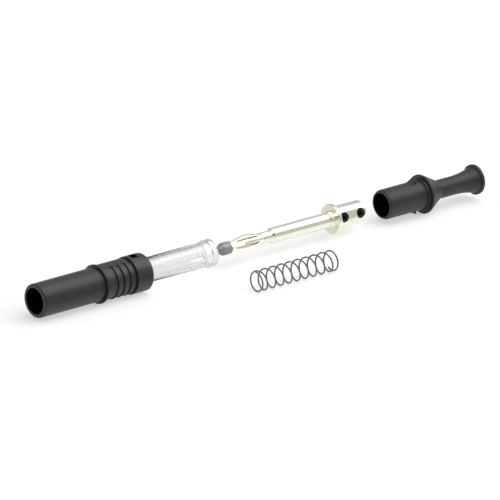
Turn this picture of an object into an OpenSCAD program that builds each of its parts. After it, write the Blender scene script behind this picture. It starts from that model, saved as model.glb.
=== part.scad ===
// Spring-sleeve 4 mm banana plug, taken apart and laid out along its own axis.
// The row runs along +X from the front housing to the rear handle, on a table at z = 0.
// Each piece is turned about the axis: a profile's points are [radius, place along the axis].

/* [Contact] */
// Diameter of the turned shaft, the nominal size of the plug
shaft_d = 4; // [3.8:0.05:4.2]
// Length of the shaft, from its step to the spring boss
shaft_len = 18.1; // [17:0.1:20]
// Diameter of the neck behind the basket
neck_d = 3; // [2.8:0.05:3.2]
// Length of bare neck between the basket and the shaft
neck_len = 3.3; // [2.6:0.1:3.8]
// Length of the chamfer from the neck up to the shaft
neck_chamfer = 0.6; // [0.4:0.05:0.8]
// How far the spring boss stands out from the shaft
boss_step = 0.25; // [0.2:0.01:0.3]
// Length of the spring boss in front of the flange
boss_len = 1.2; // [0.8:0.1:1.6]
// How far the flange overlaps the seat in the housing
flange_seat = 0.2; // [0.15:0.01:0.25]
// Thickness of the flange
flange_t = 0.9; // [0.7:0.05:1.2]
// Chamfer on the flange's rim
flange_chamfer = 0.15; // [0.05:0.01:0.2]
// Diameter of the terminal barrel
barrel_d = 6; // [5.8:0.05:6.2]
// Length of the terminal barrel behind the flange
barrel_len = 8.6; // [8:0.1:9.4]
// Chamfer at the end of the barrel
barrel_chamfer = 0.25; // [0.1:0.05:0.35]
// Diameter of the hole for the bared wire
wire_bore_d = 2.3; // [1.8:0.05:2.5]
// Depth of the hole for the bared wire
wire_bore_depth = 7.4; // [7:0.1:7.8]

/* [Contact basket] */
// Length of the basket over both rings
basket_len = 10.2; // [9.5:0.1:11]
// Diameter over the bowed strips
basket_d = 4.3; // [4.2:0.02:4.4]
// Thickness of the strips and rings
basket_wall = 0.25; // [0.2:0.01:0.28]
// Length of the front ring
front_ring_len = 0.9; // [0.7:0.05:1.2]
// Length of the rear ring
rear_ring_len = 1.3; // [1:0.05:1.6]
// Number of bowed strips
strip_count = 6; // [5:1:7]
// Width of a strip
strip_w = 1.15; // [1:0.05:1.25]
// Turn of one strip, from straight up towards the near side
strip_turn = 65; // [0:5:90]

/* [Insulating tip] */
// Widest diameter of the tip
tip_d = 3.3; // [3.1:0.05:3.4]
// Diameter of the tip's blunt nose
tip_nose_d = 1.7; // [1.4:0.05:2]
// Length of the tip in front of the basket
tip_len = 3.7; // [3.2:0.1:4.4]
// Length of the tip's front cone
tip_cone_len = 1.3; // [0.9:0.05:1.6]
// Chamfer at the back of the tip
tip_back_chamfer = 0.3; // [0.1:0.05:0.4]
// Length of the spigot inside the tip
tip_seat_depth = 2.2; // [1.6:0.1:2.6]

/* [Grub screws] */
// Outer diameter of a grub screw
screw_d = 2.5; // [2.3:0.05:2.6]
// Distance from the flange's back face to the first screw
screw_inset = 1.55; // [1.5:0.05:1.7]
// Distance between the two screws
screw_pitch = 5.2; // [4.8:0.1:5.4]
// Width across the flats of the hex socket
socket_af = 1.3; // [1.1:0.05:1.4]
// Depth of the hex socket
socket_depth = 0.9; // [0.6:0.05:1]
// How far a screw's rim lies inside the barrel's surface, and its foot clear of the wire's hole
screw_recess = 0.05; // [0.02:0.01:0.1]
// Turn of the screws, from straight up towards the near side
screw_turn = 75; // [0:5:90]

/* [Return spring] */
// Wire diameter
wire_d = 0.4; // [0.35:0.01:0.45]
// Free length of the spring
spring_len = 25.1; // [22:0.1:27]
// Number of turns, with the closed ends
spring_turns = 10.6; // [9:0.1:12]
// Closed turns at each end
closed_turns = 0.8; // [0.7:0.05:1.25]
// Gap between the closed turns
coil_gap = 0.15; // [0.05:0.01:0.25]
// Turn of the wire's front end, from the far side upwards
spring_turn = 90; // [0:5:355]

/* [Clear sleeve] */
// Length of the sleeve
sleeve_len = 22.4; // [22:0.1:24]
// Wall of the sleeve round the spring pocket
sleeve_wall = 0.375; // [0.3:0.005:0.45]
// How far the rear collar stands out from the sleeve
collar_step = 0.35; // [0.25:0.01:0.4]
// Length of the rear collar
collar_len = 1.7; // [1.4:0.1:2.2]
// Depth of the pocket that takes the front of the spring
pocket_depth = 3.45; // [3:0.05:4]
// Rounding of the sleeve's front edge
sleeve_round = 0.2; // [0.1:0.05:0.25]

/* [Front housing] */
// Length of the plain nose in front of the finger guard
nose_len = 19.5; // [18.5:0.1:20.5]
// Wall of the nose
nose_wall = 0.7; // [0.6:0.01:0.8]
// Rounding of the nose's front edge
nose_round = 0.5; // [0.3:0.05:0.55]
// Length of the narrow lip that holds the sleeve's collar in
lip_len = 2; // [1.5:0.1:2.6]
// Thickness of both finger guards
guard_t = 0.5; // [0.4:0.05:0.6]
// How far the finger guards stand out from the rear collar
guard_rise = 0.15; // [0.1:0.01:0.3]
// Width of the groove behind the finger guard
guard_groove_w = 0.3; // [0.2:0.05:0.4]
// Length of the tapered band behind the groove
band_len = 3; // [2.6:0.1:3.4]
// How much the band's radius falls along its length
band_fall = 0.34; // [0.2:0.01:0.36]
// Number of grip teeth
tooth_count = 3; // [2:1:4]
// Distance from one grip tooth to the next
tooth_pitch = 2.05; // [1.9:0.05:2.2]
// How much a tooth's radius falls along its length
tooth_fall = 0.34; // [0.28:0.01:0.36]
// Wall at the bottom of the deepest groove
grip_wall = 0.3; // [0.28:0.01:0.36]
// How far the grip teeth stand out from the deepest groove
tooth_rise = 0.4; // [0.38:0.01:0.46]
// Length of the housing's rear collar
grip_collar_len = 5.05; // [4.8:0.05:5.5]
// How far the rear collar stands out from the grip teeth
grip_collar_rise = 0.2; // [0.1:0.01:0.3]
// Rounding of the rear collar's back edge
grip_round = 0.4; // [0.2:0.05:0.45]
// Width of the smooth pad along the top of the grip
pad_w = 3.4; // [2.8:0.1:3.8]
// Gap between the pad and the rear collar
pad_gap = 0.9; // [0.6:0.05:1.2]
// Distance from the housing's back face to the snap windows
window_inset = 2.1; // [1.8:0.05:2.3]
// Length of a snap window
window_len = 1.95; // [1.9:0.05:2.6]

/* [Rear handle] */
// Length of the tube that goes into the housing
tube_len = 12.8; // [12.3:0.1:13.4]
// Length of the chamfer on the tube's front edge
tube_chamfer_len = 0.65; // [0.4:0.05:0.8]
// Depth of the chamfer on the tube's front edge
tube_chamfer = 0.3; // [0.2:0.02:0.36]
// Length of a snap nub
nub_len = 1.8; // [1.5:0.05:1.85]
// Width of a snap nub
nub_w = 2.1; // [1.7:0.05:2.3]
// How far a snap nub stands out from the tube
nub_rise = 0.8; // [0.6:0.02:0.84]
// Length of the spigot ring in front of the guard
ring_len = 0.7; // [0.5:0.05:0.8]
// How far the spigot ring stands out from the tube
ring_rise = 0.35; // [0.25:0.01:0.4]
// Length of the cone behind the guard
cone_len = 4.7; // [4.4:0.1:5.4]
// Diameter of the neck
grip_neck_d = 4.8; // [4.6:0.05:5.1]
// Length of the straight neck
grip_neck_len = 5; // [4.4:0.1:5.6]
// Length of the flare towards the cable end
flare_len = 7; // [6.4:0.1:7.6]
// Radius of the flare's hollow curve
flare_radius = 25.5; // [23:0.5:30]
// Thickness of the bead round the cable end
bead_t = 1.1; // [0.9:0.05:1.3]
// How far the bead stands out from the flare
bead_rise = 0.5; // [0.4:0.05:0.6]
// Diameter of the hole for the cable
cable_bore_d = 3.5; // [3:0.05:3.6]
// Wall of the flare at the cable end
mouth_wall = 0.8; // [0.7:0.05:1]

/* [Clearances] */
// Between the spring and what it slides over or into
spring_clear = 0.1; // [0.06:0.01:0.14]
// Between the basket and the sleeve's bore
basket_clear = 0.3; // [0.2:0.01:0.32]
// Between the sleeve and the housing's lip
lip_clear = 0.175; // [0.1:0.005:0.2]
// Between sliding diameters
slide_clear = 0.1; // [0.06:0.01:0.12]
// Between the handle's tube and the housing
tube_clear = 0.15; // [0.1:0.01:0.2]
// Between the pieces of the contact
seat_clear = 0.03; // [0.02:0.005:0.05]
// Between end faces that meet when the plug is closed
face_gap = 0.05; // [0.02:0.01:0.1]

/* [Layout on the table] */
// How far the sleeve's front end has entered the housing
sleeve_entry = 0.5; // [0.2:0.1:1]
// Gap between the sleeve and the contact's tip
sleeve_to_tip = 2.5; // [1:0.1:5]
// Gap between the contact and the handle
barrel_to_handle = 7.3; // [4:0.1:10]
// Sideways distance from the plug's axis to the spring's axis
spring_side = 18.9; // [12:0.1:30]
// Distance from the nose to the spring's front end
spring_start = 55.4; // [40:0.1:70]

/* [Hidden] */
$fn = 96;
rings_per_turn = 26;
cut = 0.5;
black = "#26282a";
nickel = "#c9c3ae";

// Radii, each built on the one inside it
shaft_r = shaft_d / 2;
boss_r = shaft_r + boss_step;
spring_mean_r = boss_r + spring_clear + wire_d / 2;
spring_r = spring_mean_r + wire_d / 2;
pocket_r = spring_r + spring_clear;
sleeve_r = pocket_r + sleeve_wall;
sleeve_bore_r = basket_d / 2 + basket_clear;
collar_r = sleeve_r + collar_step;
lip_r = sleeve_r + lip_clear;
nose_bore_r = collar_r + slide_clear;
nose_r = nose_bore_r + nose_wall;
flange_r = nose_bore_r + flange_seat;
grip_bore_r = flange_r + slide_clear;
tube_r = grip_bore_r - tube_clear;
tube_bore_r = barrel_d / 2 + slide_clear;
ring_r = tube_r + ring_rise;
groove_r = grip_bore_r + grip_wall;
tooth_r = groove_r + tooth_rise;
grip_collar_r = tooth_r + grip_collar_rise;
guard_r = grip_collar_r + guard_rise;
grip_neck_r = grip_neck_d / 2;
cable_r = cable_bore_d / 2;
neck_r = neck_d / 2;
spigot_r = neck_r - basket_wall - seat_clear;
screw_r = screw_d / 2;
screw_hole_r = screw_r + slide_clear / 2;

// Lengths along each piece
housing_teeth_x = nose_len + guard_t + guard_groove_w + band_len;
housing_collar_x = housing_teeth_x + tooth_count * tooth_pitch;
housing_len = housing_collar_x + grip_collar_len;
seat_x = housing_len - tube_len - flange_t - face_gap;
basket_x = tip_len;
neck_x = basket_x + basket_len;
shaft_x = neck_x + neck_len;
boss_x = shaft_x + shaft_len;
flange_x = boss_x + boss_len;
barrel_x = flange_x + flange_t;
contact_len = barrel_x + barrel_len;
guard_x = tube_len;
cone_x = guard_x + guard_t;
grip_neck_x = cone_x + cone_len;
flare_x = grip_neck_x + grip_neck_len;
bead_x = flare_x + flare_len;
handle_len = bead_x + bead_t;
flare_end_r = grip_neck_r + flare_radius - sqrt(flare_radius ^ 2 - flare_len ^ 2);
mouth_r = flare_end_r - mouth_wall;
nub_end = guard_x - window_inset - 2 * face_gap;
chamber_len = barrel_len + 2 * face_gap + slide_clear;

// Places in the row, with the row's box centred over the origin
row_len = housing_len - sleeve_entry + sleeve_len + sleeve_to_tip + contact_len + barrel_to_handle + handle_len;
housing_at = -row_len / 2;
sleeve_at = housing_at + housing_len - sleeve_entry;
contact_at = sleeve_at + sleeve_len + sleeve_to_tip;
handle_at = contact_at + contact_len + barrel_to_handle;
spring_at = housing_at + spring_start;
axis_y = (spring_side + spring_r - guard_r) / 2;
axis_z = guard_r;

// Stands a piece modelled up +Z along the row, with its +Y upwards
module along_row(x, y = axis_y, z = axis_z) {
    translate([x, y, z]) rotate([90, 0, 90]) children();
}

module turned(points) {
    rotate_extrude() polygon(points);
}

module rod(r, from, to) {
    translate([0, 0, from]) cylinder(r = r, h = to - from);
}

// Waste that rounds the outer edge at radius r; the piece lies on the side that way points to
module edge_waste(r, x, round, way) {
    rotate_extrude()
        translate([r - round, x + way * round])
            difference() {
                translate([0, way > 0 ? -round - cut : 0]) square(round + cut);
                circle(round);
            }
}

// A bar across the top of a piece, or across its top and bottom
module top_bar(width, from, to, turns = [0]) {
    for (turn = turns)
        rotate([0, 0, turn]) translate([-width / 2, 0, from]) cube([width, guard_r + cut, to - from]);
}

module housing_outside() {
    teeth = [
        for (i = [0 : tooth_count - 1])
            each [
                [tooth_r, housing_teeth_x + i * tooth_pitch],
                [tooth_r - tooth_fall, housing_teeth_x + (i + 1) * tooth_pitch]
            ]
    ];
    guard_back = nose_len + guard_t;
    turned(concat(
        [[0, 0], [nose_r, 0], [nose_r, nose_len], [guard_r, nose_len], [guard_r, guard_back]],
        [[groove_r, guard_back], [groove_r, guard_back + guard_groove_w]],
        [[tooth_r, guard_back + guard_groove_w], [tooth_r - band_fall, housing_teeth_x]],
        teeth,
        [[grip_collar_r, housing_collar_x], [grip_collar_r, housing_len], [0, housing_len]]
    ));
}

module front_housing() {
    pad_end = housing_collar_x - pad_gap;
    window_end = housing_len - window_inset;
    color(black)
    along_row(housing_at)
    difference() {
        union() {
            housing_outside();
            intersection() {
                rod(tooth_r, nose_len + guard_t, pad_end);
                top_bar(pad_w, nose_len + guard_t, pad_end);
            }
        }
        edge_waste(nose_r, 0, nose_round, 1);
        edge_waste(grip_collar_r, housing_len, grip_round, -1);
        difference() {
            top_bar(pad_w, pad_end, housing_collar_x);
            rod(groove_r, pad_end - cut, housing_collar_x + cut);
        }
        rod(lip_r, -cut, lip_len + cut);
        rod(nose_bore_r, lip_len, seat_x + cut);
        rod(grip_bore_r, seat_x, housing_len + cut);
        rod(ring_r + slide_clear, housing_len - ring_len - face_gap, housing_len + cut);
        top_bar(nub_w + 2 * slide_clear, window_end - window_len, window_end, [0, 180]);
    }
}

module clear_sleeve() {
    color("#dfe6ea", 0.35)
    along_row(sleeve_at)
    difference() {
        turned([
            [0, 0], [sleeve_r, 0], [sleeve_r, sleeve_len - collar_len],
            [collar_r, sleeve_len - collar_len], [collar_r, sleeve_len], [0, sleeve_len]
        ]);
        edge_waste(sleeve_r, 0, sleeve_round, 1);
        edge_waste(collar_r, sleeve_len, sleeve_round, -1);
        rod(sleeve_bore_r, -cut, sleeve_len);
        rod(pocket_r, sleeve_len - pocket_depth, sleeve_len + cut);
    }
}

module insulating_tip() {
    tip_r = tip_d / 2;
    color("#7f878d")
    along_row(contact_at)
    difference() {
        turned([
            [0, 0], [tip_nose_d / 2, 0], [tip_r, tip_cone_len], [tip_r, tip_len - tip_back_chamfer],
            [tip_r - tip_back_chamfer, tip_len], [0, tip_len]
        ]);
        rod(spigot_r + seat_clear, tip_len - tip_seat_depth - seat_clear, tip_len + cut);
    }
}

// Half of the basket's section: two rings joined by the strip between two equal arcs
module basket_section() {
    ring_bore_r = neck_r - basket_wall;
    bow_len = basket_len - front_ring_len - rear_ring_len;
    bow_rise = basket_d / 2 - neck_r;
    bow_radius = (bow_rise ^ 2 + (bow_len / 2) ^ 2) / (2 * bow_rise);
    translate([ring_bore_r, 0]) square([basket_wall, front_ring_len]);
    translate([ring_bore_r, basket_len - rear_ring_len]) square([basket_wall, rear_ring_len - seat_clear]);
    intersection() {
        translate([0, front_ring_len]) square([basket_d, bow_len]);
        translate([basket_d / 2 - bow_radius, front_ring_len + bow_len / 2])
            difference() {
                circle(bow_radius, $fn = 180);
                translate([-basket_wall, 0]) circle(bow_radius, $fn = 180);
            }
    }
}

module contact_basket() {
    front_root = front_ring_len + basket_wall;
    rear_root = basket_len - rear_ring_len - basket_wall;
    color(nickel)
    along_row(contact_at + basket_x)
    rotate([0, 0, strip_turn])
    intersection() {
        rotate_extrude() basket_section();
        union() {
            rod(basket_d, -cut, front_root);
            rod(basket_d, rear_root, basket_len + cut);
            for (i = [0 : strip_count - 1])
                rotate([0, 0, i * 360 / strip_count])
                    translate([-strip_w / 2, 0, 0]) cube([strip_w, basket_d, basket_len]);
        }
    }
}

// Puts a piece that points up +Z into a screw's place, looking out of the barrel
module at_screw(number) {
    translate([0, 0, barrel_x + screw_inset + number * screw_pitch])
        rotate([0, 0, screw_turn]) rotate([-90, 0, 0]) children();
}

module contact_body() {
    color(nickel)
    along_row(contact_at)
    difference() {
        turned([
            [0, tip_len - tip_seat_depth], [spigot_r, tip_len - tip_seat_depth], [spigot_r, neck_x],
            [neck_r, neck_x], [neck_r, shaft_x - neck_chamfer], [shaft_r, shaft_x], [shaft_r, boss_x],
            [boss_r, boss_x], [boss_r, flange_x], [flange_r - flange_chamfer, flange_x],
            [flange_r, flange_x + flange_chamfer], [flange_r, barrel_x], [barrel_d / 2, barrel_x],
            [barrel_d / 2, contact_len - barrel_chamfer], [barrel_d / 2 - barrel_chamfer, contact_len],
            [0, contact_len]
        ]);
        rod(wire_bore_d / 2, contact_len - wire_bore_depth, contact_len + cut);
        for (number = [0, 1])
            at_screw(number) cylinder(r = screw_hole_r, h = barrel_d);
    }
}

module grub_screw(number) {
    screw_top = sqrt((barrel_d / 2) ^ 2 - screw_r ^ 2) - screw_recess;
    screw_foot = wire_bore_d / 2 + screw_recess;
    color("#202224")
    along_row(contact_at)
    at_screw(number)
    difference() {
        rod(screw_r, screw_foot, screw_top);
        translate([0, 0, screw_top - socket_depth])
            cylinder(d = socket_af / cos(30), h = socket_depth + cut, $fn = 6);
    }
}

module front_grub_screw() {
    grub_screw(0);
}

module rear_grub_screw() {
    grub_screw(1);
}

// Height of the wire's centre after a number of turns: closed at the ends, open between them
function spring_height(turn) =
    let (
        closed_pitch = wire_d + coil_gap,
        open_turns = spring_turns - 2 * closed_turns,
        open_pitch = (spring_len - wire_d - 2 * closed_turns * closed_pitch) / open_turns,
        in_open = min(max(turn - closed_turns, 0), open_turns)
    )
    wire_d / 2 + in_open * open_pitch + (turn - in_open) * closed_pitch;

module return_spring() {
    sides = 8;
    rings = ceil(spring_turns * rings_per_turn);
    step = 1 / rings_per_turn;
    points = [
        for (i = [0 : rings])
            let (
                turn = spring_turns * i / rings,
                heading = 360 * turn + spring_turn,
                run = 2 * PI * spring_mean_r * step,
                climb = spring_height(turn + step / 2) - spring_height(turn - step / 2),
                lead = atan2(climb, run),
                out = [cos(heading), sin(heading), 0],
                up = [sin(heading) * sin(lead), -cos(heading) * sin(lead), cos(lead)]
            )
            for (j = [0 : sides - 1])
                spring_mean_r * out + [0, 0, spring_height(turn)]
                    + wire_d / 2 * (cos(360 * j / sides) * out + sin(360 * j / sides) * up)
    ];
    walls = [
        for (i = [0 : rings - 1], j = [0 : sides - 1])
            let (next = (j + 1) % sides)
            [i * sides + j, (i + 1) * sides + j, (i + 1) * sides + next, i * sides + next]
    ];
    first_cap = [for (j = [0 : sides - 1]) j];
    last_cap = [for (j = [sides - 1 : -1 : 0]) rings * sides + j];
    color("#3a3c3e")
    along_row(spring_at, axis_y - spring_side, spring_r)
    polyhedron(points, concat(walls, [first_cap, last_cap]));
}

// The snap nubs are two pieces of one turned ramp: low in front, steep behind
module snap_nubs() {
    intersection() {
        turned([
            [tube_bore_r, nub_end - nub_len], [tube_r, nub_end - nub_len],
            [tube_r + nub_rise, nub_end], [tube_bore_r, nub_end]
        ]);
        top_bar(nub_w, nub_end - nub_len, nub_end, [0, 180]);
    }
}

// The flare is a plain cylinder with the hollow curve turned out of it
module flare_outside() {
    rotate_extrude()
        difference() {
            translate([0, flare_x]) square([flare_end_r, flare_len]);
            translate([grip_neck_r + flare_radius, flare_x]) circle(flare_radius, $fn = 360);
        }
}

module rear_handle() {
    bead_r = flare_end_r + bead_rise;
    color(black)
    along_row(handle_at)
    difference() {
        union() {
            turned([
                [0, 0], [tube_r - tube_chamfer, 0], [tube_r, tube_chamfer_len], [tube_r, guard_x - ring_len],
                [ring_r, guard_x - ring_len], [ring_r, guard_x], [guard_r, guard_x], [guard_r, cone_x],
                [grip_neck_r, grip_neck_x], [grip_neck_r, flare_x + cut], [0, flare_x + cut]
            ]);
            snap_nubs();
            flare_outside();
            rod(bead_r, bead_x, handle_len);
        }
        edge_waste(bead_r, handle_len, bead_t / 2, -1);
        rod(tube_bore_r, -cut, chamber_len);
        turned([
            [0, chamber_len - cut], [tube_bore_r, chamber_len - cut], [tube_bore_r, chamber_len],
            [cable_r, chamber_len + tube_bore_r - cable_r], [cable_r, flare_x],
            [mouth_r, handle_len], [mouth_r, handle_len + cut], [0, handle_len + cut]
        ]);
    }
}

front_housing();
clear_sleeve();
insulating_tip();
contact_basket();
contact_body();
front_grub_screw();
rear_grub_screw();
return_spring();
rear_handle();
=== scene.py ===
# Spring-sleeve banana plug, taken apart along its axis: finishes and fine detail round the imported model.
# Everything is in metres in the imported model's frame: +X runs from the housing's nose to the cable end.

import math

import bpy
from mathutils import Matrix, Vector


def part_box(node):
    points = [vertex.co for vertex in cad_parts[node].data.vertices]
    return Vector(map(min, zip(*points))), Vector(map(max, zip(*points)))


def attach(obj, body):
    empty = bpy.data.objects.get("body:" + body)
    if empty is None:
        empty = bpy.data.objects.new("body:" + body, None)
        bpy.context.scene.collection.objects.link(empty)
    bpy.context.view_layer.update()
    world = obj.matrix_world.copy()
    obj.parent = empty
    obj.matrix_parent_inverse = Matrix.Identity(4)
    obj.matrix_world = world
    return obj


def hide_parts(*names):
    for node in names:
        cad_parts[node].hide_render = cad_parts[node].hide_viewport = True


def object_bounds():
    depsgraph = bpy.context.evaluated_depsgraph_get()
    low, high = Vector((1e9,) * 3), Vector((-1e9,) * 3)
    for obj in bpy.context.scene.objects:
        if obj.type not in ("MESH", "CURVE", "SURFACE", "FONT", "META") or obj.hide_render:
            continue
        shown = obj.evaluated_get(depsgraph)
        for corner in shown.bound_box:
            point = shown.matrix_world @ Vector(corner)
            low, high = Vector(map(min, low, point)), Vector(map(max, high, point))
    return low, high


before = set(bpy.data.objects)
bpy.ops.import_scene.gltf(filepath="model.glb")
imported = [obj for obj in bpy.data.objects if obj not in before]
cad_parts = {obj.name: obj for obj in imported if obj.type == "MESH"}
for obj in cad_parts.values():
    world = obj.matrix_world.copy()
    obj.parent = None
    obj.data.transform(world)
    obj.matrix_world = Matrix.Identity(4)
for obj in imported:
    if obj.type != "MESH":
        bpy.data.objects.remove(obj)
CAD_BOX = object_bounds()

bl_info = {
    "name": "Spring-sleeve banana plug",
    "version": (1, 0, 0),
    "blender": (4, 5, 0),
    "location": "View3D > Sidebar > Plug",
    "description": "Finishes and fine detail for a spring-sleeve banana plug laid out in a row",
    "category": "Object",
}

MM = 0.001
IMAGE_PX = 500
SENSOR_MM = 36.0


# Sizes and colours that a user would change


def length(name, description, millimetres):
    """A length that is shown in the scene's units."""
    return bpy.props.FloatProperty(
        name=name, description=description, default=millimetres * MM, min=0.0, unit="LENGTH", precision=5
    )


def colour(name, description, rgb):
    """A linear surface colour."""
    return bpy.props.FloatVectorProperty(
        name=name, description=description, default=rgb, size=3, min=0.0, max=1.0, subtype="COLOR"
    )


def share(name, description, value):
    """A number from 0 to 1."""
    return bpy.props.FloatProperty(
        name=name, description=description, default=value, min=0.0, max=1.0, subtype="FACTOR"
    )


def amount(name, description, value):
    """A plain number."""
    return bpy.props.FloatProperty(name=name, description=description, default=value, min=0.0)


def turn(name, description, degrees):
    """An angle, kept in radians."""
    return bpy.props.FloatProperty(
        name=name, description=description, default=math.radians(degrees), subtype="ANGLE"
    )


class PlugSizes(bpy.types.PropertyGroup):
    """Sizes of the pieces and edges that are made here."""

    moulded_round: length("Moulded edge", "Rounding of the moulded pieces' edges", 0.07)
    turned_round: length("Turned edge", "Rounding of the turned contact's edges", 0.06)
    basket_round: length("Basket edge", "Rounding of the basket's strip edges", 0.04)
    # The snap windows' walls between these two limits get painted shade.
    windows_from: length("Windows from", "Front limit of the snap windows, from the housing's back", 4.8)
    windows_to: length("Windows to", "Rear limit of the snap windows, from the housing's back", 1.0)
    tip_round: length("Tip edge", "Rounding of the insulating tip's edges", 0.1)
    sleeve_wall: length("Sleeve wall", "Wall of the clear sleeve round the spring pocket", 0.375)
    sleeve_step: length("Sleeve collar step", "How far the sleeve's rear collar stands out", 0.35)
    sleeve_collar: length("Sleeve collar", "Length of the sleeve's rear collar", 1.7)
    sleeve_bore: length("Sleeve bore", "Diameter of the sleeve's bore", 4.9)
    pocket_depth: length("Spring pocket", "Depth of the pocket that takes the spring", 3.45)
    sleeve_round: length("Sleeve edge", "Rounding of the sleeve's edges", 0.2)
    screw_across: length("Screw", "Diameter of a grub screw over its thread", 2.5)
    screw_pitch: length("Screw pitch", "Pitch of the grub screws' thread", 0.45)
    thread_depth: length("Thread depth", "Depth of the grub screws' thread", 0.2)
    socket_across: length("Socket", "Width across the flats of a screw's socket", 1.3)
    socket_depth: length("Socket depth", "Depth of a screw's socket", 0.9)
    wire_across: length("Spring wire", "Diameter of the spring's wire", 0.4)
    coil_gap: length("Closed coils", "Gap between the spring's closed turns", 0.15)
    spring_turns: amount("Spring turns", "Number of turns with the closed ends", 10.6)
    closed_turns: amount("Closed turns", "Closed turns at each end of the spring", 0.8)
    spring_turn: turn("Spring turn", "Turn of the wire's front end, from the far side upwards", 90.0)
    screw_turn: turn("Screw turn", "Turn of the screws from straight up towards the near side", 75.0)


class PlugFinishes(bpy.types.PropertyGroup):
    """Colours and gloss of the finishes."""

    black: colour("Black plastic", "Moulded housing and handle", (0.014, 0.014, 0.014))
    # Painted shade: the near-black colour put inside the bores and on the snap windows' walls, where shade
    # falls.
    bore: colour("Black bore", "Inside of the moulded pieces", (0.005, 0.005, 0.005))
    black_rough: share("Black roughness", "Roughness of the moulded black plastic", 0.44)
    # Also sets how much darker the pits are painted, as their shade.
    black_texture: share("Black texture", "Depth of the moulded black plastic's texture", 0.9)
    clear: colour("Clear plastic", "Tint of the sliding sleeve's surface", (0.905, 0.905, 0.907))
    clear_depth: colour("Clear depth", "Tint of the sleeve's plastic where it is deep", (0.8, 0.8, 0.803))
    clear_density: amount("Clear density", "How soon the plastic darkens with depth, per metre", 430.0)
    tip: colour("Tip plastic", "Insulating tip", (0.3, 0.322, 0.343))
    tip_rough: share("Tip roughness", "Roughness of the insulating tip", 0.36)
    # Also sets how much darker the tip's pits are painted, as their shade.
    tip_texture: share("Tip texture", "Depth of the insulating tip's texture", 0.1)
    nickel: colour("Plated contact", "Turned and plated contact", (0.88, 0.87, 0.76))
    nickel_rough: share("Contact roughness", "Roughness of the plated contact", 0.2)
    # Paler than the contact's plating: partly the basket's own creamier colour, partly painted light that
    # lifts the shade in its slots.
    basket: colour("Plated basket", "Bowed contact basket", (0.98, 0.96, 0.85))
    basket_rough: share("Basket roughness", "Roughness of the bowed basket", 0.2)
    screw: colour("Blackened steel", "Grub screws", (0.025, 0.027, 0.03))
    spring: colour("Spring steel", "Return spring", (0.12, 0.135, 0.15))


class PlugStage(bpy.types.PropertyGroup):
    """Camera, lamps and floor."""

    view_turn: turn("Camera turn", "Turn of the camera from looking along +Y, towards the nose", 39.6)
    view_rise: turn("Camera rise", "Height of the camera above the horizon", 19.6)
    lens_mm: amount("Lens", "Focal length in millimetres on a 36 mm sensor", 1700.0)
    pixel: length("Pixel", "Width of the object that one pixel of the picture shows", 0.25)
    middle_px: bpy.props.FloatVectorProperty(
        name="Middle",
        description="Pixel of the row's middle, from the top left",
        default=(257.05, 239.6),
        size=2,
    )
    floor: colour("Floor", "Plain pale floor", (0.65, 0.65, 0.65))
    floor_lift: share("Floor lift", "Light added to the floor where it is seen, to show as white", 0.5)
    ambient: amount("Ambient", "Strength of the even light from all round", 0.42)
    key_watts: amount("Key lamp", "Power of the large soft lamp above the near right side", 17.0)
    key_size: length("Key lamp size", "Width of the large soft lamp", 2000.0)
    key_reach: length("Key lamp distance", "Distance of the large soft lamp", 1400.0)
    top_card: colour("Top card", "Grey card above the far side, seen in reflections", (0.59, 0.6, 0.61))
    low_card: colour("Low card", "Grey cards low on the near side, seen in reflections", (0.56, 0.56, 0.53))
    strip_card: colour("Strip", "White strips over sleeve and tip, seen in reflections", (1.0, 1.0, 1.0))
    strip_glow: amount("Sleeve strip glow", "Brightness of the white strip above the sleeve", 4.5)
    tip_glow: amount("Tip strip glow", "Brightness of the white strip above the tip", 9.0)
    far_card: colour("Far card", "Grey card low on the far side, seen in reflections", (0.75, 0.75, 0.7))
    front_card: colour("Front card", "Dark card beyond the nose, seen in reflections", (0.1, 0.09, 0.07))


def settings():
    """The three groups of values, as sizes, finishes and stage."""
    scene = bpy.context.scene
    return scene.plug_sizes, scene.plug_finishes, scene.plug_stage


# Meshes


def plug_axis():
    """The sideways and upward place of the plug's axis."""
    low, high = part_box("clear_sleeve")
    middle = (low + high) / 2
    return middle.y, middle.z


def ring_mesh(name, rings, loop=False, smooth_under=40.0):
    """A mesh of equal rings of points, each joined to the next, with capped ends or as a loop."""
    count = len(rings[0])
    points = [point for ring in rings for point in ring]
    pairs = [(i, i + 1) for i in range(len(rings) - 1)]
    if loop:
        pairs.append((len(rings) - 1, 0))
    faces = []
    for first, second in pairs:
        for i in range(count):
            j = (i + 1) % count
            faces.append(
                (first * count + i, first * count + j, second * count + j, second * count + i)
            )
    if not loop:
        for ring, way in ((0, -1), (len(rings) - 1, 1)):
            centre = len(points)
            points.append(sum(rings[ring], Vector()) / count)
            for i in range(count):
                edge = (ring * count + i, ring * count + (i + 1) % count)
                faces.append((*edge[::way], centre))
    mesh = bpy.data.meshes.new(name)
    mesh.from_pydata(points, [], faces)
    mesh.update()
    mesh.shade_smooth()
    mesh.set_sharp_from_angle(angle=math.radians(smooth_under))
    piece = bpy.data.objects.new(name, mesh)
    bpy.context.scene.collection.objects.link(piece)
    return piece


def rounded(outline, radius, steps=5):
    """A closed outline whose corners are short curves, each within half of the sides beside it."""
    curve = []
    for i, corner in enumerate(outline):
        before = Vector(outline[i - 1]) - Vector(corner)
        after = Vector(outline[(i + 1) % len(outline)]) - Vector(corner)
        trim = min(radius, before.length / 2.2, after.length / 2.2)
        start = Vector(corner) + before.normalized() * trim
        end = Vector(corner) + after.normalized() * trim
        for step in range(steps + 1):
            t = step / steps
            curve.append((1 - t) ** 2 * start + 2 * t * (1 - t) * Vector(corner) + t ** 2 * end)
    return curve


def turned_ring(place, radius, segments):
    """A ring of points about the plug's axis."""
    y, z = plug_axis()
    angles = [2 * math.pi * i / segments for i in range(segments)]
    return [Vector((place, y + radius * math.cos(a), z + radius * math.sin(a))) for a in angles]


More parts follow.
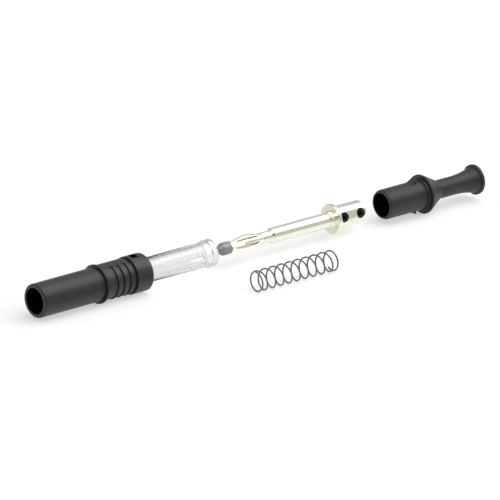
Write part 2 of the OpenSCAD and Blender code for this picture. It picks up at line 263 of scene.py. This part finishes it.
def reach(node, way):
    """How far a CAD node reaches along a direction across the plug's axis, nearest and farthest."""
    axis = Vector((0.0, *plug_axis()))
    heights = [way.dot(point.co - axis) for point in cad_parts[node].data.vertices]
    return min(heights), max(heights)


def soften_edges(node, width):
    """Rounds the edges of a CAD node with modifiers, and leaves its own mesh as it is."""
    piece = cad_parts[node]
    weld = piece.modifiers.new("Joined faces", "WELD")
    weld.merge_threshold = MM / 1000
    bevel = piece.modifiers.new("Rounded edges", "BEVEL")
    bevel.width = width
    bevel.segments = 2
    bevel.limit_method = "ANGLE"
    bevel.angle_limit = math.radians(25)
    bevel.use_clamp_overlap = True
    normals = piece.modifiers.new("Even shading", "WEIGHTED_NORMAL")
    normals.keep_sharp = True
    return piece


def dress(piece, finish):
    """Gives a piece one finish all over."""
    piece.data.materials.clear()
    piece.data.materials.append(finish)


def paint_bore_shade(piece, finish, walls):
    """A second finish, painted shade, for faces that look at the plug's axis, and for end walls between two
    places.
    """
    axis = Vector((0.0, *plug_axis()))
    piece.data.materials.append(finish)
    for face in piece.data.polygons:
        out = face.center - axis
        out.x = 0.0
        inward = face.normal.dot(out.normalized()) < -0.1
        in_window = walls[0] < face.center.x < walls[1] and abs(face.normal.x) > 0.9
        if inward or in_window:
            face.material_index = 1


def stand_for(piece, node, body, finish):
    """A piece made here takes a CAD node's place on its body."""
    dress(piece, finish)
    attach(piece, body)
    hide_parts(node)


# Finishes

# Grain of the finishes, in waves per metre
PITS = 2400.0
GLOSS_PATCHES = 350.0
BORE_PATCHES = 900.0
HAZE = 200.0
WORKING_MARKS = 5000.0
PLATING_PATCHES = 600.0
STEEL_PATCHES = 1800.0
STEEL_PITS = 9000.0

# Draw lines round the wire, and how far each is drawn out along it
DRAW_LINES = 60.0
DRAWN_OUT = (0.02, 1.0, 1.0)

# Stretch of the working marks: round the turned contact, and along the rolled basket
TURNED_MARKS = (1.0, 0.03, 0.03)
ROLLED_MARKS = (0.04, 1.0, 1.0)

# Gloss of the finishes that have no value of their own
BORE_ROUGH = 0.8
CLEAR_ROUGH = 0.02
STEEL_ROUGH = 0.42
WIRE_ROUGH = 0.38

# Bending and polish of the clear plastic
CLEAR_IOR = 1.33
CLEAR_COAT = 0.6
CLEAR_COAT_ROUGH = 0.05


def new_finish(name, base, roughness, metallic=0.0):
    """A material with its node tree and main shader."""
    finish = bpy.data.materials.new(name)
    finish.use_nodes = True
    shader = finish.node_tree.nodes["Principled BSDF"]
    shader.inputs["Base Color"].default_value = (*base, 1.0)
    shader.inputs["Roughness"].default_value = roughness
    shader.inputs["Metallic"].default_value = metallic
    return finish, finish.node_tree, shader


def grain(tree, scale, stretch=(1.0, 1.0, 1.0), detail=3.0, source="Object"):
    """Noise over the surface; stretch under 1 draws it out along that axis."""
    place = tree.nodes.new("ShaderNodeTexCoord")
    mapping = tree.nodes.new("ShaderNodeMapping")
    mapping.inputs["Scale"].default_value = stretch
    noise = tree.nodes.new("ShaderNodeTexNoise")
    noise.inputs["Scale"].default_value = scale
    noise.inputs["Detail"].default_value = detail
    tree.links.new(place.outputs[source], mapping.inputs["Vector"])
    tree.links.new(mapping.outputs["Vector"], noise.inputs["Vector"])
    return noise.outputs["Fac"]


def scaled(tree, value, low, high):
    """Maps 0 to 1 onto another range."""
    node = tree.nodes.new("ShaderNodeMapRange")
    node.inputs["To Min"].default_value = low
    node.inputs["To Max"].default_value = high
    tree.links.new(value, node.inputs["Value"])
    return node.outputs["Result"]


def vary_roughness(tree, shader, noise, roughness, spread):
    """Lets the gloss wander about its middle value."""
    gloss = scaled(tree, noise, max(roughness - spread, 0.0), roughness + spread)
    tree.links.new(gloss, shader.inputs["Roughness"])


def shade_ramp(tree, value, base, stops):
    """Shades of one colour along a value; each stop is a place and the factor of the colour there."""
    ramp = tree.nodes.new("ShaderNodeValToRGB")
    elements = ramp.color_ramp.elements
    while len(elements) < len(stops):
        elements.new(1.0)
    for element, (position, factor) in zip(elements, stops):
        element.position = position
        element.color = (*(min(part * factor, 1.0) for part in base), 1.0)
    tree.links.new(value, ramp.inputs["Fac"])
    return ramp.outputs["Color"]


def vary_colour(tree, shader, noise, base, spread):
    """Lets the colour wander between a darker and a lighter shade of itself."""
    shades = shade_ramp(tree, noise, base, ((0.3, 1 - spread), (0.7, 1 + spread)))
    tree.links.new(shades, shader.inputs["Base Color"])


def raise_grain(tree, shader, noise, strength, height):
    """Raises a fine texture by bump."""
    bump = tree.nodes.new("ShaderNodeBump")
    bump.inputs["Strength"].default_value = strength
    bump.inputs["Distance"].default_value = height
    tree.links.new(noise, bump.inputs["Height"])
    tree.links.new(bump.outputs["Normal"], shader.inputs["Normal"])


def moulded_plastic(name, base, roughness, texture):
    """Moulded plastic with a fine eroded texture, painted darker in its pits as their shade, and an uneven
    gloss.
    """
    finish, tree, shader = new_finish(name, base, roughness)
    pits_and_painted_shade = grain(tree, PITS, detail=4.0)
    # Painted shade: the colour follows the pits, darker where the texture is deep.
    vary_colour(tree, shader, pits_and_painted_shade, base, texture / 2)
    vary_roughness(tree, shader, grain(tree, GLOSS_PATCHES), roughness, 0.05)
    raise_grain(tree, shader, pits_and_painted_shade, texture, 0.05 * MM)
    return finish


def bore_painted_shade_plastic(name, base):
    """The same plastic inside a bore, dull and painted dark as the shade that falls there, varied in
    patches.
    """
    finish, tree, shader = new_finish(name, base, BORE_ROUGH)
    shader.inputs["Specular IOR Level"].default_value = 0.0
    vary_colour(tree, shader, grain(tree, BORE_PATCHES), base, 0.3)
    return finish


def clear_plastic(name, base, deep, density):
    """Polished clear plastic with faint haze, which darkens where a wall is seen on edge."""
    finish, tree, shader = new_finish(name, base, CLEAR_ROUGH)
    shader.inputs["Transmission Weight"].default_value = 1.0
    shader.inputs["IOR"].default_value = CLEAR_IOR
    shader.inputs["Coat Weight"].default_value = CLEAR_COAT
    shader.inputs["Coat Roughness"].default_value = CLEAR_COAT_ROUGH
    depth = tree.nodes.new("ShaderNodeVolumeAbsorption")
    depth.inputs["Color"].default_value = (*deep, 1.0)
    depth.inputs["Density"].default_value = density
    tree.links.new(depth.outputs["Volume"], tree.nodes["Material Output"].inputs["Volume"])
    vary_roughness(tree, shader, grain(tree, HAZE, (0.2, 1.0, 1.0)), CLEAR_ROUGH, 0.01)
    return finish


def plated_metal(name, base, roughness, marks):
    """Plated metal with fine working marks; marks is the stretch that draws them out."""
    finish, tree, shader = new_finish(name, base, roughness, metallic=1.0)
    lines = grain(tree, WORKING_MARKS, marks, detail=2.0)
    vary_colour(tree, shader, grain(tree, PLATING_PATCHES), base, 0.03)
    vary_roughness(tree, shader, lines, roughness, 0.04)
    raise_grain(tree, shader, lines, 0.05, 0.004 * MM)
    return finish


def black_steel(name, base):
    """Blackened steel, dull where the coat is thick."""
    finish, tree, shader = new_finish(name, base, STEEL_ROUGH, metallic=0.55)
    patches = grain(tree, STEEL_PATCHES)
    vary_colour(tree, shader, patches, base, 0.25)
    vary_roughness(tree, shader, patches, STEEL_ROUGH, 0.1)
    raise_grain(tree, shader, grain(tree, STEEL_PITS), 0.15, 0.006 * MM)
    return finish


def drawn_wire(name, base):
    """Spring wire with draw lines along its length."""
    finish, tree, shader = new_finish(name, base, WIRE_ROUGH, metallic=0.85)
    lines = grain(tree, DRAW_LINES, DRAWN_OUT, source="UV")
    vary_colour(tree, shader, lines, base, 0.2)
    vary_roughness(tree, shader, lines, WIRE_ROUGH, 0.1)
    raise_grain(tree, shader, lines, 0.2, 0.004 * MM)
    return finish


# Pieces


class PLUG_OT_mouldings(bpy.types.Operator):
    """Rounds the edges of the black mouldings, gives them their textured finish and paints shade inside
    their bores and snap windows
    """

    bl_idname = "plug.mouldings"
    bl_label = "Housing and handle"

    def execute(self, context):
        sizes, finishes, _ = settings()
        black = moulded_plastic(
            "black moulded plastic", finishes.black, finishes.black_rough, finishes.black_texture
        )
        bore = bore_painted_shade_plastic("black bore painted shade", finishes.bore)
        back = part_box("front_housing")[1].x
        windows = (back - sizes.windows_from, back - sizes.windows_to)
        for node, walls in (("front_housing", windows), ("rear_handle", (back, back))):
            piece = soften_edges(node, sizes.moulded_round)
            dress(piece, black)
            paint_bore_shade(piece, bore, walls)
        # Paints shade on the faces inside the bore and on the snap windows' walls.
        return {"FINISHED"}


class PLUG_OT_sleeve(bpy.types.Operator):
    """Turns the clear sliding sleeve with its collar and spring pocket"""

    bl_idname = "plug.sleeve"
    bl_label = "Clear sleeve"

    segments = 160

    def execute(self, context):
        sizes, finishes, _ = settings()
        low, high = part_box("clear_sleeve")
        collar_r = (high.z - low.z) / 2
        outer_r = collar_r - sizes.sleeve_step
        pocket_r = outer_r - sizes.sleeve_wall
        bore_r = sizes.sleeve_bore / 2
        collar_x = high.x - sizes.sleeve_collar
        pocket_x = high.x - sizes.pocket_depth
        outline = [
            (low.x, bore_r), (low.x, outer_r), (collar_x, outer_r), (collar_x, collar_r),
            (high.x, collar_r), (high.x, pocket_r), (pocket_x, pocket_r), (pocket_x, bore_r),
        ]
        rings = [turned_ring(x, r, self.segments) for x, r in rounded(outline, sizes.sleeve_round)]
        sleeve = ring_mesh("sleeve_tube", rings, loop=True)
        sleeve.visible_shadow = False
        finish = clear_plastic(
            "clear plastic", finishes.clear, finishes.clear_depth, finishes.clear_density
        )
        stand_for(sleeve, "clear_sleeve", "sleeve", finish)
        return {"FINISHED"}


class PLUG_OT_tip(bpy.types.Operator):
    """Rounds the insulating tip and gives it its smooth plastic"""

    bl_idname = "plug.tip"
    bl_label = "Insulating tip"

    def execute(self, context):
        sizes, finishes, _ = settings()
        plastic = moulded_plastic("tip plastic", finishes.tip, finishes.tip_rough, finishes.tip_texture)
        dress(soften_edges("insulating_tip", sizes.tip_round), plastic)
        return {"FINISHED"}


class PLUG_OT_contact(bpy.types.Operator):
    """Plates the turned contact and the bowed basket"""

    bl_idname = "plug.contact"
    bl_label = "Contact and basket"

    def execute(self, context):
        sizes, finishes, _ = settings()
        turned = plated_metal("plated contact", finishes.nickel, finishes.nickel_rough, TURNED_MARKS)
        rolled = plated_metal("plated basket", finishes.basket, finishes.basket_rough, ROLLED_MARKS)
        dress(soften_edges("contact_body", sizes.turned_round), turned)
        dress(soften_edges("contact_basket", sizes.basket_round), rolled)
        return {"FINISHED"}


class PLUG_OT_screws(bpy.types.Operator):
    """Cuts the thread, the point and the socket of the two grub screws"""

    bl_idname = "plug.screws"
    bl_label = "Grub screws"

    segments = 72
    rings_per_pitch = 8

    def thread_radius(self, sizes, from_end, height, angle):
        """Radius of the threaded side, with the first and last turns run out in a chamfer."""
        crest = sizes.screw_across / 2
        phase = (height / sizes.screw_pitch - angle / (2 * math.pi)) % 1.0
        radius = crest - sizes.thread_depth * (1 - abs(2 * phase - 1))
        return min(radius, crest - sizes.thread_depth + from_end)

    def socket_radius(self, sizes, angle):
        """Distance from the middle of the socket to its six flats."""
        sixth = math.pi / 3
        return sizes.socket_across / 2 / math.cos((angle % sixth) - sixth / 2)

    def rings(self, sizes, node):
        """The screw's rings from the cup in its foot, up the thread and down into the socket."""
        low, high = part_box(node)
        out = Vector((0.0, -math.sin(sizes.screw_turn), math.cos(sizes.screw_turn)))
        along = Vector((1.0, 0.0, 0.0))
        across = out.cross(along)
        middle = Vector(((low.x + high.x) / 2, *plug_axis()))
        foot, top = reach(node, out)
        angles = [2 * math.pi * i / self.segments for i in range(self.segments)]

        def ring(height, radius):
            return [
                middle + out * height + (along * math.cos(a) + across * math.sin(a)) * radius(a)
                for a in angles
            ]

        crest = sizes.screw_across / 2
        cup_r = crest / 2
        cup_depth = cup_r / 2
        tall = top - foot
        count = round(tall / sizes.screw_pitch * self.rings_per_pitch)
        floor = top - sizes.socket_depth
        lead_in = sizes.thread_depth / 4
        stack = [
            ring(foot + cup_depth, lambda a: cup_r / 8),
            ring(foot, lambda a: cup_r),
        ]
        for step in range(count + 1):
            height = foot + tall * step / count
            end = min(height - foot, top - height)
            stack.append(ring(height, lambda a, e=end, h=height: self.thread_radius(sizes, e, h, a)))
        stack.append(ring(top, lambda a: self.socket_radius(sizes, a) + lead_in))
        stack.append(ring(top - lead_in, lambda a: self.socket_radius(sizes, a)))
        stack.append(ring(floor, lambda a: self.socket_radius(sizes, a)))
        stack.append(ring(floor - lead_in, lambda a: lead_in))
        return stack

    def execute(self, context):
        sizes, finishes, _ = settings()
        steel = black_steel("blackened steel", finishes.screw)
        for place in ("front", "rear"):
            node = f"{place}_grub_screw"
            screw = ring_mesh(f"{place}_screw_thread", self.rings(sizes, node), smooth_under=32.0)
            stand_for(screw, node, f"{place}_screw", steel)
        return {"FINISHED"}


class PLUG_OT_spring(bpy.types.Operator):
    """Winds the return spring from round wire, with a closed turn at each end"""

    bl_idname = "plug.spring"
    bl_label = "Return spring"

    sides = 14
    rings_per_turn = 64

    def height(self, sizes, spring_len, at_turn):
        """Distance of the wire's centre from the spring's front end after a number of turns."""
        closed_pitch = sizes.wire_across + sizes.coil_gap
        open_turns = sizes.spring_turns - 2 * sizes.closed_turns
        closed_len = 2 * sizes.closed_turns * closed_pitch
        open_pitch = (spring_len - sizes.wire_across - closed_len) / open_turns
        in_open = min(max(at_turn - sizes.closed_turns, 0.0), open_turns)
        return sizes.wire_across / 2 + in_open * open_pitch + (at_turn - in_open) * closed_pitch

    def execute(self, context):
        sizes, finishes, _ = settings()
        low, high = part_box("return_spring")
        middle = (low + high) / 2
        wire_r = sizes.wire_across / 2
        coil_r = (high.z - low.z) / 2 - wire_r
        count = round(sizes.spring_turns * self.rings_per_turn)
        step = sizes.spring_turns / count

        def centre(at_turn):
            angle = 2 * math.pi * at_turn + sizes.spring_turn
            place = low.x + self.height(sizes, high.x - low.x, at_turn)
            y = middle.y + coil_r * math.cos(angle)
            z = middle.z + coil_r * math.sin(angle)
            return Vector((place, y, z))

        spokes = [2 * math.pi * j / self.sides for j in range(self.sides)]
        rings = []
        for i in range(count + 1):
            at_turn = i * step
            angle = 2 * math.pi * at_turn + sizes.spring_turn
            ahead = (centre(at_turn + step / 2) - centre(at_turn - step / 2)).normalized()
            out = Vector((0.0, math.cos(angle), math.sin(angle)))
            side = ahead.cross(out)
            rings.append([
                centre(at_turn) + wire_r * (out * math.cos(s) + side * math.sin(s)) for s in spokes
            ])
        spring = ring_mesh("spring_wire", rings)
        self.lay_lines(spring.data)
        finish = drawn_wire("drawn spring wire", finishes.spring)
        stand_for(spring, "return_spring", "contact", finish)
        return {"FINISHED"}

    def lay_lines(self, mesh):
        """Maps the wire's length and girth, so that the draw lines follow it."""
        layer = mesh.uv_layers.new(name="along the wire")
        last = len(mesh.vertices) - 2
        for loop in mesh.loops:
            index = min(loop.vertex_index, last - 1)
            along = index // self.sides / self.rings_per_turn
            layer.data[loop.index].uv = (along, index % self.sides / self.sides)


# Stage


def seen_rays(tree):
    """1 for what the camera sees straight, in a reflection or through the clear sleeve."""
    path = tree.nodes.new("ShaderNodeLightPath")
    seen = path.outputs["Is Camera Ray"]
    for kind in ("Is Glossy Ray", "Is Transmission Ray"):
        either = tree.nodes.new("ShaderNodeMath")
        either.operation = "MAXIMUM"
        tree.links.new(seen, either.inputs[0])
        tree.links.new(path.outputs[kind], either.inputs[1])
        seen = either.outputs["Value"]
    return seen


def flat_panel(name, corners, finish):
    """A flat four-cornered panel of the stage."""
    mesh = bpy.data.meshes.new(name)
    mesh.from_pydata(corners, [], [(0, 1, 2, 3)])
    panel = bpy.data.objects.new(name, mesh)
    bpy.context.scene.collection.objects.link(panel)
    dress(panel, finish)
    return panel


class PLUG_OT_stage(bpy.types.Operator):
    """Lays the pale floor, hangs the lamps and sets up the camera"""

    bl_idname = "plug.stage"
    bl_label = "Stage"

    floor_reach = 4.0
    lamp_way = (0.45, -0.42, 0.79)

    # Places of the cards: two edges across the plug's axis, each sideways and up, and two ends along it
    top_place = ((0.39, 0.92), (0.99, 0.09)), (-2.0, 2.0)
    low_place = ((-0.025, -0.005), (-0.025, 0.024)), (0.005, 0.15)
    nose_place = ((-0.012, -0.005), (-0.012, 0.01)), (-0.075, -0.026)
    sleeve_place = ((-0.0111, 0.0144), (-0.0026, 0.0177)), (-0.027, -0.008)
    tip_place = ((-0.0111, 0.0144), (-0.0026, 0.0177)), (-0.003, 0.003)
    far_place = ((0.0, -0.0048), (0.022, -0.0048)), (0.005, 0.026)
    front_place = ((-0.98, 0.17), (-0.09, 1.0)), (-2.0, -0.45)

    def lay_floor(self, stage):
        """A pale floor that keeps the shadows and is white where the camera sees it."""
        finish = bpy.data.materials.new("pale floor")
        finish.use_nodes = True
        tree = finish.node_tree
        shader = tree.nodes["Principled BSDF"]
        shader.inputs["Base Color"].default_value = (*stage.floor, 1.0)
        shader.inputs["Roughness"].default_value = 1.0
        shader.inputs["Specular IOR Level"].default_value = 0.0
        shader.inputs["Emission Color"].default_value = (1.0, 1.0, 1.0, 1.0)
        lift = scaled(tree, seen_rays(tree), 0.0, stage.floor_lift)
        tree.links.new(lift, shader.inputs["Emission Strength"])
        far, level = self.floor_reach, CAD_BOX[0].z
        corners = [(-far, -far, level), (far, -far, level), (far, far, level), (-far, far, level)]
        flat_panel("floor", corners, finish)

    def light_world(self, stage):
        """Even light from all round, white where the camera sees it."""
        world = bpy.data.worlds.new("white room")
        world.use_nodes = True
        tree = world.node_tree
        back = tree.nodes["Background"]
        back.inputs["Color"].default_value = (1.0, 1.0, 1.0, 1.0)
        tree.links.new(scaled(tree, seen_rays(tree), stage.ambient, 1.0), back.inputs["Strength"])
        bpy.context.scene.world = world

    def hang_lamp(self, stage):
        """One large soft lamp above the near right side, turned to the middle of the row."""
        aim = (CAD_BOX[0] + CAD_BOX[1]) / 2
        way = Vector(self.lamp_way).normalized()
        lamp = bpy.data.lights.new("key lamp", "AREA")
        lamp.energy = stage.key_watts
        lamp.size = stage.key_size
        holder = bpy.data.objects.new("key lamp", lamp)
        holder.location = aim + way * stage.key_reach
        holder.rotation_mode = "QUATERNION"
        holder.rotation_quaternion = (-way).to_track_quat("-Z", "Y")
        bpy.context.scene.collection.objects.link(holder)

    def hang_card(self, name, shade, edges, ends, strength=1.0):
        """A card that reflections and the clear sleeve show, and that lights no dull surface."""
        finish = bpy.data.materials.new(name)
        finish.use_nodes = True
        tree = finish.node_tree
        glow = tree.nodes.new("ShaderNodeEmission")
        glow.inputs["Color"].default_value = (*shade, 1.0)
        glow.inputs["Strength"].default_value = strength
        tree.links.new(glow.outputs["Emission"], tree.nodes["Material Output"].inputs["Surface"])
        y, z = plug_axis()
        (low_y, low_z), (high_y, high_z) = edges
        corners = [(x, y + low_y, z + low_z) for x in ends]
        corners += [(x, y + high_y, z + high_z) for x in reversed(ends)]
        card = flat_panel(name, corners, finish)
        card.visible_camera = False
        card.visible_diffuse = False
        card.visible_shadow = False
        return card

    def hang_cards(self, stage):
        """The cards that give the metal, the tip and the clear sleeve their bands."""
        self.hang_card("top card", stage.top_card, *self.top_place)
        self.hang_card("low card", stage.low_card, *self.low_place)
        self.hang_card("nose card", stage.low_card, *self.nose_place)
        strips = (
            self.hang_card("sleeve strip", stage.strip_card, *self.sleeve_place, stage.strip_glow),
            self.hang_card("tip strip", stage.strip_card, *self.tip_place, stage.tip_glow),
        )
        for card in strips:
            card.visible_transmission = False
        self.hang_card("far card", stage.far_card, *self.far_place)
        self.hang_card("front card", stage.front_card, *self.front_place)

    def set_camera(self, stage):
        """A long lens whose picture puts the middle of the plug's row on its pixel."""
        turned, rise = stage.view_turn, stage.view_rise
        look = Vector((
            math.sin(turned) * math.cos(rise), math.cos(turned) * math.cos(rise), -math.sin(rise)
        ))
        right = Vector((math.cos(turned), -math.sin(turned), 0.0))
        up = right.cross(look)
        y, z = plug_axis()
        middle = Vector(((CAD_BOX[0].x + CAD_BOX[1].x) / 2, y, z))
        half = IMAGE_PX / 2
        across = (half - stage.middle_px[0]) * stage.pixel
        above = (stage.middle_px[1] - half) * stage.pixel
        aim = middle + right * across + up * above
        distance = stage.pixel * IMAGE_PX * stage.lens_mm / SENSOR_MM
        data = bpy.data.cameras.new("camera")
        data.lens = stage.lens_mm
        data.sensor_width = SENSOR_MM
        data.clip_end = distance * 3
        camera = bpy.data.objects.new("camera", data)
        axes = Matrix((right, up, -look)).transposed().to_4x4()
        camera.matrix_world = Matrix.Translation(aim - look * distance) @ axes
        bpy.context.scene.collection.objects.link(camera)
        bpy.context.scene.camera = camera

    def execute(self, context):
        _, _, stage = settings()
        self.lay_floor(stage)
        self.light_world(stage)
        self.hang_lamp(stage)
        self.hang_cards(stage)
        self.set_camera(stage)
        context.scene.view_settings.view_transform = "Standard"
        return {"FINISHED"}


class PLUG_PT_sidebar(bpy.types.Panel):
    """Lists the plug's steps and the values that they use."""

    bl_idname = "PLUG_PT_sidebar"
    bl_label = "Banana plug"
    bl_space_type = "VIEW_3D"
    bl_region_type = "UI"
    bl_category = "Plug"

    def draw(self, context):
        for step in STEPS:
            self.layout.operator(step.bl_idname)
        for group in settings():
            column = self.layout.column()
            for name in group.__annotations__:
                column.prop(group, name)


GROUPS = {"plug_sizes": PlugSizes, "plug_finishes": PlugFinishes, "plug_stage": PlugStage}
STEPS = (
    PLUG_OT_mouldings,
    PLUG_OT_sleeve,
    PLUG_OT_tip,
    PLUG_OT_contact,
    PLUG_OT_screws,
    PLUG_OT_spring,
    PLUG_OT_stage,
)


def register():
    for name, group in GROUPS.items():
        bpy.utils.register_class(group)
        setattr(bpy.types.Scene, name, bpy.props.PointerProperty(type=group))
    for step in (*STEPS, PLUG_PT_sidebar):
        bpy.utils.register_class(step)


def unregister():
    for step in (*STEPS, PLUG_PT_sidebar):
        bpy.utils.unregister_class(step)
    for name, group in GROUPS.items():
        delattr(bpy.types.Scene, name)
        bpy.utils.unregister_class(group)


def main():
    register()
    bpy.ops.plug.mouldings()
    bpy.ops.plug.sleeve()
    bpy.ops.plug.tip()
    bpy.ops.plug.contact()
    bpy.ops.plug.screws()
    bpy.ops.plug.spring()
    bpy.ops.plug.stage()


if __name__ == "__main__":
    main()
